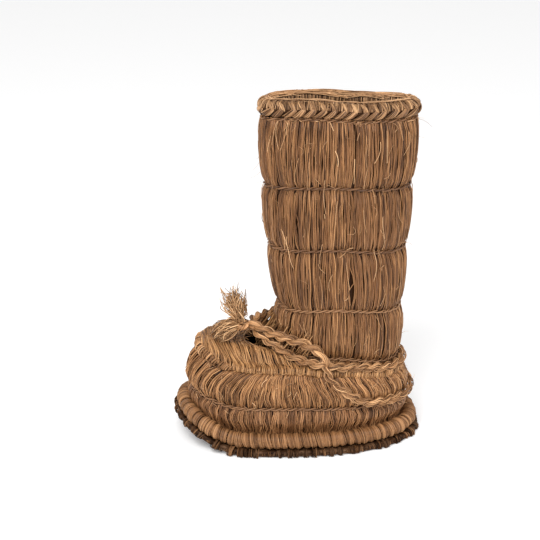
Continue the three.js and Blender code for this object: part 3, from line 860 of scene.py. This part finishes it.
def collarStrays(line, total):
    look, count = strayLook, strayLook["straws"]
    u = np.linspace(0, 1, look["steps"])
    onFar = vary(0, 1, count) < look["farShare"]
    share = np.where(onFar, vary(0.5, 1, count), vary(0, 0.5, count))
    share = share + vary(*look["run"], count) / total * u
    angle = vary(*look["angle"], count) + jitter(look["turn"], count) * (u - 0.5)
    full = boot["rollThick"] / 2 - collarLook["wrapRadius"] + look["lift"]
    strays = wind(line, share, angle, full + vary(*look["bow"], count) * arch(u))
    return strays, look["radius"] * vary(*look["radiusVary"], count)


def makeCollar():
    outline = grown({
        "front": boot["collarFront"], "back": boot["collarBack"], "mid": boot["ankleMid"],
        "half": boot["collarWidth"] / 2, "toePower": boot["shaftPower"], "heelPower": boot["shaftPower"],
    }, -boot["shaftWall"] / 2)
    outline["fold"] = boot["foldRadius"] - boot["shaftWall"] / 2
    plan = planRing(outline, collarLook["points"])
    line = np.column_stack([plan, collarLine(plan[:, 0])])
    total = np.linalg.norm(np.roll(line, -1, 0) - line, axis=1).sum()
    wraps = collarWraps(line)
    lower, upper = (plaitStrokes(line, total, collarLook[side]) for side in ("lower", "upper"))
    wrapRadius = collarLook["wrapRadius"] * vary(*collarLook["wrapVary"], len(wraps))
    radius = collarLook["strokeRadius"]
    piece = strawPiece("collar_wraps", [(wraps, wrapRadius), (upper, radius)], "rimStraw")
    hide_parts("collar_roll")
    strawPiece("collar_plait", [(lower, radius)], "plaitStraw")
    rollCore("collar_core", line, collarLook["coreThick"])
    strawPiece("collar_strays", [collarStrays(line, total)], "hairStraw")


# Toe ridge: the pad's straws are wound over where they turn at the toe
ridgeLook = {
    "wraps": 96, "half": 0.105, "thick": 11.5, "thickVary": (0.88, 1.12), "flatness": 0.8, "slant": 0.003,
    "radius": 0.75, "radiusVary": (0.8, 1.2), "lift": 3.2, "rise": 0.35, "steps": 12,
}


def makeToeRidge():
    look, count, half = ridgeLook, ridgeLook["wraps"], ridgeLook["half"]
    share = np.sort(rng.uniform(-half, half, count))[:, None]
    angle = np.linspace(0, 2 * np.pi, look["steps"], endpoint=False)
    level = footLevelAt["upperTwine"] + look["rise"] * (1 - (share / half) ** 2)
    point, normal, along = skinFrame(foot, share + look["slant"] * np.sin(angle), level)
    thick = look["thick"] * (0.5 + 0.5 * dome(share / half))
    size = thick / 2 * vary(*look["thickVary"], count)
    wraps = point + normal * (look["lift"] + look["flatness"] * size * np.cos(angle))[..., None] \
        + np.cross(normal, along) * (size * np.sin(angle))[..., None]
    strawPiece("toe_ridge_wraps", [(wraps, look["radius"] * vary(*look["radiusVary"], count))],
               "ropeStraw", closed=True)


makeWelt()
makeCollar()
makeToeRidge()
print("rolls wound")


# Ankle tie: each turn's route from the knot to the heel, as in the model.
# Wall, share of the way round it, height over the seam, distance past touching it.
upperTurn = (
    ("shaft", 0.06, 26, 8), ("shaft", 0.11, 27, 2), ("shaft", 0.155, 27, 1.2), ("shaft", 0.195, 18, 0.8),
    ("foot", 0.295, -3, 2), ("foot", 0.325, -15, 1.6), ("foot", 0.35, -25, 0.3), ("foot", 0.375, -29, 0.3),
    ("foot", 0.4, -29, 0.9), ("foot", 0.45, -28, 0.9),
)
lowerTurn = (
    ("shaft", 0.075, 13, 9), ("shaft", 0.12, 9, 7), ("shaft", 0.16, 7.5, 5), ("shaft", 0.2, 7.5, 5),
    ("shaft", 0.235, 6.5, 5), ("shaft", 0.28, 5.5, 2), ("shaft", 0.34, 5.5, 1), ("shaft", 0.4, 5.5, 1),
    ("shaft", 0.45, 5.5, 1),
)
ropeLook = {
    "pitch": 29, "spacing": 2.2, "plyOffset": 2.55, "strawsPerPly": 15, "strawTurns": 6, "strawOffset": 2.7,
    "strawRadius": 0.6, "turnVary": 0.2, "reachVary": 0.1,
    "hairs": 200, "hairSteps": 7, "hairReach": (2, 9), "hairRadius": 0.2,
}


def offSkin(skin, around, height, out, tries=400, aside=0.01):
    levels = np.linspace(0, len(skin) - 1, tries)
    column = onSkin(skin, np.full_like(levels, around), levels)
    at = np.argmax(column[:, 2] >= height) if column[:, 2].max() >= height else len(levels) - 1
    ahead, behind = (onSkin(skin, around + step, levels[at]) for step in (aside, -aside))
    along = ahead - behind
    outward = np.array([along[1], -along[0], 0]) / math.hypot(along[0], along[1])
    point = column[at] + outward * out
    point[2] = height
    return point


def centripetal(points, count, spanSteps=40):
    line = []
    total = len(points)
    for k in range(total):
        near = [points[(k + j - 1) % total] for j in range(4)]
        knots = np.cumsum([0] + [np.linalg.norm(b - a) ** 0.5 for a, b in zip(near, near[1:])])
        for t in np.linspace(knots[1], knots[2], spanSteps, endpoint=False):
            held = near
            for spans in (((0, 1), (1, 2), (2, 3)), ((0, 2), (1, 3)), ((1, 2),)):
                held = [(knots[b] - t) / (knots[b] - knots[a]) * first
                        + (t - knots[a]) / (knots[b] - knots[a]) * second
                        for (a, b), first, second in zip(spans, held, held[1:])]
            line.append(held[0])
    return evenly(np.array(line + line[:1]), np.arange(count) / count)


def turnLine(route, apex):
    skins = {"shaft": shaft, "foot": foot[:-1]}
    touching = boot["ropeThick"] / 2 + boot["seatGap"] + boot["bundleDepth"] / 2

    def placed(row, around):
        wall, _, above, out = row
        flat = offSkin(skins[wall], around, boot["seamHeight"], 0)
        return offSkin(skins[wall], around, seamLine(flat[0]) + above, touching + out)

    near = [placed(row, row[1]) for row in route]
    far = [placed(row, 1 - row[1]) for row in route][::-1]
    return [np.array(apex, float), *near, placed(route[-1], 0.5), *far]


def twistedRope(points):
    look = ropeLook
    chords = sum(np.linalg.norm(points[i] - points[i - 1]) for i in range(len(points)))
    line, total = centripetal(points, int(chords / look["spacing"]))
    out, up = rollFrame(line)
    share = np.arange(len(line)) / len(line)
    turns = round(total / look["pitch"])
    straws = []
    for ply in range(2):
        turn = 2 * np.pi * turns * share + math.pi * ply
        middle = line + look["plyOffset"] * (out * np.cos(turn)[:, None] + up * np.sin(turn)[:, None])
        for j in range(look["strawsPerPly"]):
            own = turn - 2 * np.pi * (turns + look["strawTurns"]) * share
            own = own + 2 * np.pi * j / look["strawsPerPly"]
            own = own + look["turnVary"] * np.sin(2 * np.pi * (3 + j) * share)
            reach = look["strawOffset"] + look["reachVary"] * np.sin(2 * np.pi * (5 + 3 * j) * share + j)
            straws.append(middle + reach[:, None] * (out * np.cos(own)[:, None] + up * np.sin(own)[:, None]))
    return straws


def makeTie():
    look = ropeLook
    x, y, z = boot["knotPlace"]
    apex = x - boot["knotSize"] / 2 - boot["ropeThick"] / 2 - boot["seatGap"]
    straws = twistedRope(turnLine(upperTurn, (apex, y, z))) \
        + twistedRope(turnLine(lowerTurn, (apex - 1, y, z - boot["ropeThick"] / 2)))
    bunches = [([line], look["strawRadius"]) for line in straws]
    piece = strawPiece("ankle_tie_rope", bunches, "ropeStraw", closed=True)
    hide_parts("ankle_tie")
    steps = look["hairSteps"]
    u = np.linspace(0, 1, steps)
    hairs = []
    for _ in range(look["hairs"]):
        line = straws[rng.integers(len(straws))]
        i = rng.integers(len(line) - steps - 1)
        swing = unit(rng.normal(0, 1, (1, 3))) * rng.uniform(*look["hairReach"])
        hairs.append(line[i:i + steps] + swing * u[:, None] ** 1.5)
    strawPiece("tie_hairs", [(np.array(hairs), look["hairRadius"])], "hairStraw")


# The knot: turns tucked through one another, each a ring of straws twisted three times
knotLook = {
    "turns": 3, "straws": 7, "radius": 1.0, "steps": 28, "reach": 6.3, "twist": 2, "twists": 3,
    "step": 2.4, "tilt": (0.5, 0.45), "shift": (-2.5, 0, -1),
}


def makeKnot():
    look = knotLook
    place = np.array(boot["knotPlace"]) + look["shift"]
    angle = np.linspace(0, 2 * np.pi, look["steps"], endpoint=False)
    straws = []
    for turn in range(look["turns"]):
        swing = turn * 2 * math.pi / look["turns"]
        axis = np.array([look["tilt"][0] * math.cos(swing), look["tilt"][1] * math.sin(swing), 1.0])
        axis /= np.linalg.norm(axis)
        side = unit(np.cross(axis, [0.3, 1, 0.1]))
        other = np.cross(axis, side)
        for j in range(look["straws"]):
            own = angle * look["twists"] + j * 2 * np.pi / look["straws"]
            reach = look["reach"] + look["twist"] * np.cos(own)
            across = look["twist"] * np.sin(own) + turn * look["step"] - look["step"]
            straws.append(place + side * (reach * np.cos(angle))[:, None]
                          + other * (reach * np.sin(angle))[:, None] + axis * across[:, None])
    knot = strawPiece("tie_knot_turns", [([line], look["radius"]) for line in straws],
                      "ropeStraw", closed=True)
    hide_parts("tie_knot")
    return knot


# Rope ends: a core strand each, with its frayed straws
endRoutes = {
    "left": ((73, 11, 129.8), (80.5, 12.3, 130), (87, 14.5, 128), (92, 13.5, 122), (94, 8.8, 116.2)),
    "up": ((65, 11, 138.7), (66, 12, 146), (68, 13, 153.5), (70, 13, 161), (70, 12, 168.5)),
}
endLook = {
    "coreThick": 5, "corePoints": 16, "taper": 0.8, "straws": 200, "radius": 0.62, "radiusVary": (0.6, 1.4),
    "steps": 11, "reach": (0.45, 0.93), "bell": 0.7, "swing": 0.7, "curl": 1.2, "strawTaper": 0.5,
    "left": {"base": 5.5, "spread": 7.5, "shift": (-7, 0, -1.5)},
    "up": {"base": 4, "spread": 13, "shift": (0, 0, 0)},
}


def openLine(points, count, spanSteps=30):
    points = np.array(points, float)
    ends = np.vstack([2 * points[0] - points[1], points, 2 * points[-1] - points[-2]])
    line = [catmullRom(*ends[k:k + 4], t) for k in range(len(points) - 1)
            for t in np.linspace(0, 1, spanSteps, endpoint=False)]
    return evenly(np.array(line + [points[-1]]), np.linspace(0, 1, count))


def endCore(name, line):
    core = bpy.data.curves.new(name, "CURVE")
    core.dimensions = "3D"
    core.bevel_depth = endLook["coreThick"] / 2 * metre
    core.bevel_resolution = 3
    core.use_fill_caps = True
    spline = core.splines.new("POLY")
    spline.points.add(len(line) - 1)
    thick = 1 - endLook["taper"] * np.linspace(0, 1, len(line)) ** 3
    for point, place, size in zip(spline.points, line, thick):
        point.co = (*(place * metre), 1)
        point.radius = size
    core.materials.append(straw["ropeStraw"])
    piece = bpy.data.objects.new(name, core)
    bpy.context.collection.objects.link(piece)
    return piece


def endTuft(end, route):
    look, own, count = endLook, endLook[end], endLook["straws"]
    u = np.linspace(0, 1, look["steps"])
    centre, _ = openLine(route, look["steps"])
    direction = unit(rng.normal(0, 1, (count, 3))) * np.sqrt(vary(0, 1, count))
    at = np.clip(u * vary(*look["reach"], count), 0, 1) * (look["steps"] - 1)
    i = np.minimum(np.floor(at).astype(int), look["steps"] - 2)
    part = (at - i)[..., None]
    lines = centre[i] * (1 - part) + centre[i + 1] * part + np.array(own["shift"])
    lines = lines + direction[:, None, :] * (own["base"] + own["spread"] * u ** look["bell"])[None, :, None]
    bend = unit(rng.normal(0, 1, (count, 3)))[:, None, :]
    swing = own["spread"] * look["swing"] * np.sin(u * np.pi * look["curl"]) * vary(0, 1, count)
    radius = look["radius"] * vary(*look["radiusVary"], count) * (1 - look["strawTaper"] * u ** 2)
    return lines + bend * swing[..., None], radius


def makeEnds(knot):
    for end, route in endRoutes.items():
        line, length = openLine(route, endLook["corePoints"])
        piece = endCore("tie_end_" + end + "_core", line)
        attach(piece, "root")
        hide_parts("tie_end_" + end)
        tuft = strawPiece("tie_end_" + end + "_straws", [endTuft(end, route)], "tuftStraw")


makeTie()
makeEnds(makeKnot())
print("tie laid")


# Outsole: clumps of short loops of straw turned round its edge
soleLook = {
    "clumps": 112, "straws": 10, "inset": 3.2, "points": 600, "girth": 700, "clumpVary": 0.3,
    "sizeVary": (0.5, 1.3), "spread": 3, "slant": 4, "steps": 9, "arc": 1.9, "arcVary": 0.25, "reach": 4.2,
    "reachVary": (0.8, 1.15), "wide": 1.15, "tilt": 0.6, "floorGap": 0.8, "radius": 0.62,
    "radiusVary": (0.7, 1.3), "lightClumps": 0.08, "lightStraws": 0.22,
}


def makeSoleEdge():
    look, clumps, per = soleLook, soleLook["clumps"], soleLook["straws"]
    plan = planRing(soleOutline(look["inset"]), look["points"])
    line = np.column_stack([plan, springAt(plan[:, 0]) + boot["soleThick"] * 0.5])
    count = clumps * per
    home = (np.arange(clumps) + rng.uniform(-look["clumpVary"], look["clumpVary"], clumps)) / clumps
    size = rng.uniform(*look["sizeVary"], clumps).repeat(per)[:, None]
    u = np.linspace(0, 1, look["steps"])
    start = home.repeat(per)[:, None] + jitter(look["spread"], count) / look["girth"]
    share = start + jitter(look["slant"], count) / look["girth"] * (u - 0.5)
    angle = mix(-look["arc"], look["arc"], u)[None, :] + jitter(look["arcVary"], count)
    reach = look["reach"] * size * vary(*look["reachVary"], count)
    tilt = jitter(look["tilt"], count) * arch(u)
    out, up = rollFrame(line)
    outward = unit(pointAt(out, share)) * (reach * look["wide"] * np.cos(angle))[..., None]
    upward = unit(pointAt(up, share)) * (reach * np.sin(angle) + tilt)[..., None]
    points = pointAt(line, share) + outward + upward
    points[..., 2] = np.maximum(points[..., 2], look["floorGap"])
    radius = look["radius"] * vary(*look["radiusVary"], count)
    light = (rng.uniform(0, 1, clumps) < look["lightClumps"]).repeat(per)
    light = light | (rng.uniform(0, 1, count) < look["lightStraws"])
    strawPiece("outsole_edge", [(points[~light], radius[~light])], "soleStraw")
    strawPiece("outsole_edge_light", [(points[light], radius[light])], "soleLight")


# Loose straws over the walls, some lying on them and finer ones standing off. Levels and girth are
# those of the wall they are on.
looseLook = {
    "steps": 9, "shaft": {"levels": (8, 47), "girth": 380}, "foot": {"levels": (3.2, 9.3), "girth": 660},
    "lying": {"straws": 260, "radius": 0.3, "radiusVary": (0.7, 1.5), "run": 7, "rise": 0.112, "bend": 3,
              "lift": 2.6, "bow": 1.4, "tip": (-0.4, 1.2)},
    "hairs": {"straws": 130, "radius": 0.16, "radiusVary": (0.8, 1.6), "length": (6, 20), "lift": 1.5,
              "rise": 0.35, "drift": 0.8, "sway": 0.3},
}


def lyingStraws(skin, wall, u):
    look, count = looseLook["lying"], looseLook["lying"]["straws"]
    low, high = wall["levels"]
    start = vary(0, 1, count)
    level = vary(low, high, count)
    run = jitter(look["run"], count) / wall["girth"]
    rise = jitter(look["rise"], count) * (high - low)
    bend = jitter(look["bend"], count) / wall["girth"]
    levels = np.clip(level + rise * u, low, high)
    point, normal, _ = skinFrame(skin, start + run * u + bend * arch(u), levels)
    lift = look["lift"] + vary(0, look["bow"], count) * arch(u) + vary(*look["tip"], count) * u ** 3
    return point + normal * lift[..., None], look["radius"] * vary(*look["radiusVary"], count)


def standingHairs(skin, wall, u):
    look, count = looseLook["hairs"], looseLook["hairs"]["straws"]
    start, level = vary(0, 1, count), vary(*wall["levels"], count)
    point, normal, along = skinFrame(skin, start * np.ones_like(u), level * np.ones_like(u))
    length = vary(*look["length"], count)
    drift = unit(rng.normal(0, 1, (count, 3))[:, None, :])
    point = point + normal * (look["lift"] + length * look["rise"] * u ** 1.3)[..., None] \
        + drift * (length * u)[..., None] * look["drift"] \
        + along * (length * look["sway"] * np.sin(u * 3))[..., None]
    return point, look["radius"] * vary(*look["radiusVary"], count) * (1 - 0.5 * u)


def makeLoose():
    u = np.linspace(0, 1, looseLook["steps"])
    bunches = []
    for skin, wall in ((shaft, looseLook["shaft"]), (foot, looseLook["foot"])):
        bunches += [lyingStraws(skin, wall, u), standingHairs(skin, wall, u)]
    strawPiece("loose_straws", bunches, "hairStraw")


makeSoleEdge()
makeLoose()
print("sole's edge and loose straws laid")


# Skins of the model that stay, with straw grain along them: finish, and the grain's scale by axis
skinLook = {
    # The walls' skin under the straws is near-black, as painted shade that shows in the gaps between straws.
    "wallShadeSkin": ("paintedShadeStraw", (330, 330, 14), ("foot_upper", "shaft")),
    "soleSkin": ("soleStraw", (160, 260, 160), ("outsole",)),
    "insoleSkin": ("lowStraw", (40, 420, 420), ("insole",)),
}


def dressNodes():
    for name, (finish, scale, nodes) in skinLook.items():
        material = strawMaterial(name, finish, scale)
        for node in nodes:
            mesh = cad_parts[node]
            mesh.data.materials.clear()
            mesh.data.materials.append(material)


dressNodes()
print("model's own skins dressed")


# Floor and light: each lamp's place in metres, its size and its power
stageLook = {
    "floorSize": 6, "floorTone": 0.95, "floorRough": 0.8, "floorGlow": 0.14, "skyLight": 0.75,
    "lamps": {"keyLight": ((0.5, 1.1, 1.5), 0.9, 24), "fillLight": ((-1.2, 1.0, 0.8), 1.2, 8)},
    "aim": (0, 0, 0.17),
}


def makeStage():
    mesh = bpy.data.meshes.new("floor")
    shape = bmesh.new()
    bmesh.ops.create_grid(shape, x_segments=1, y_segments=1, size=stageLook["floorSize"])
    shape.to_mesh(mesh)
    shape.free()
    floor = bpy.data.objects.new("floor", mesh)
    bpy.context.collection.objects.link(floor)
    material = bpy.data.materials.new("floorPaint")
    material.use_nodes = True
    paint = material.node_tree.nodes["Principled BSDF"].inputs
    paint["Base Color"].default_value = (*(stageLook["floorTone"],) * 3, 1)
    paint["Roughness"].default_value = stageLook["floorRough"]
    paint["Emission Color"].default_value = (1, 1, 1, 1)
    paint["Emission Strength"].default_value = stageLook["floorGlow"]
    mesh.materials.append(material)
    world = bpy.data.worlds.new("studio")
    bpy.context.scene.world = world
    world.use_nodes = True
    sky = world.node_tree.nodes["Background"].inputs
    sky["Color"].default_value = (1, 1, 1, 1)
    sky["Strength"].default_value = stageLook["skyLight"]
    for name, (place, size, power) in stageLook["lamps"].items():
        data = bpy.data.lights.new(name, "AREA")
        data.size = size
        data.energy = power
        lamp = bpy.data.objects.new(name, data)
        lamp.location = place
        lamp.rotation_mode = "QUATERNION"
        lamp.rotation_quaternion = (Vector(stageLook["aim"]) - Vector(place)).to_track_quat("-Z", "Y")
        bpy.context.collection.objects.link(lamp)
    bpy.context.scene.view_settings.view_transform = "Standard"


makeStage()
print("stage set")
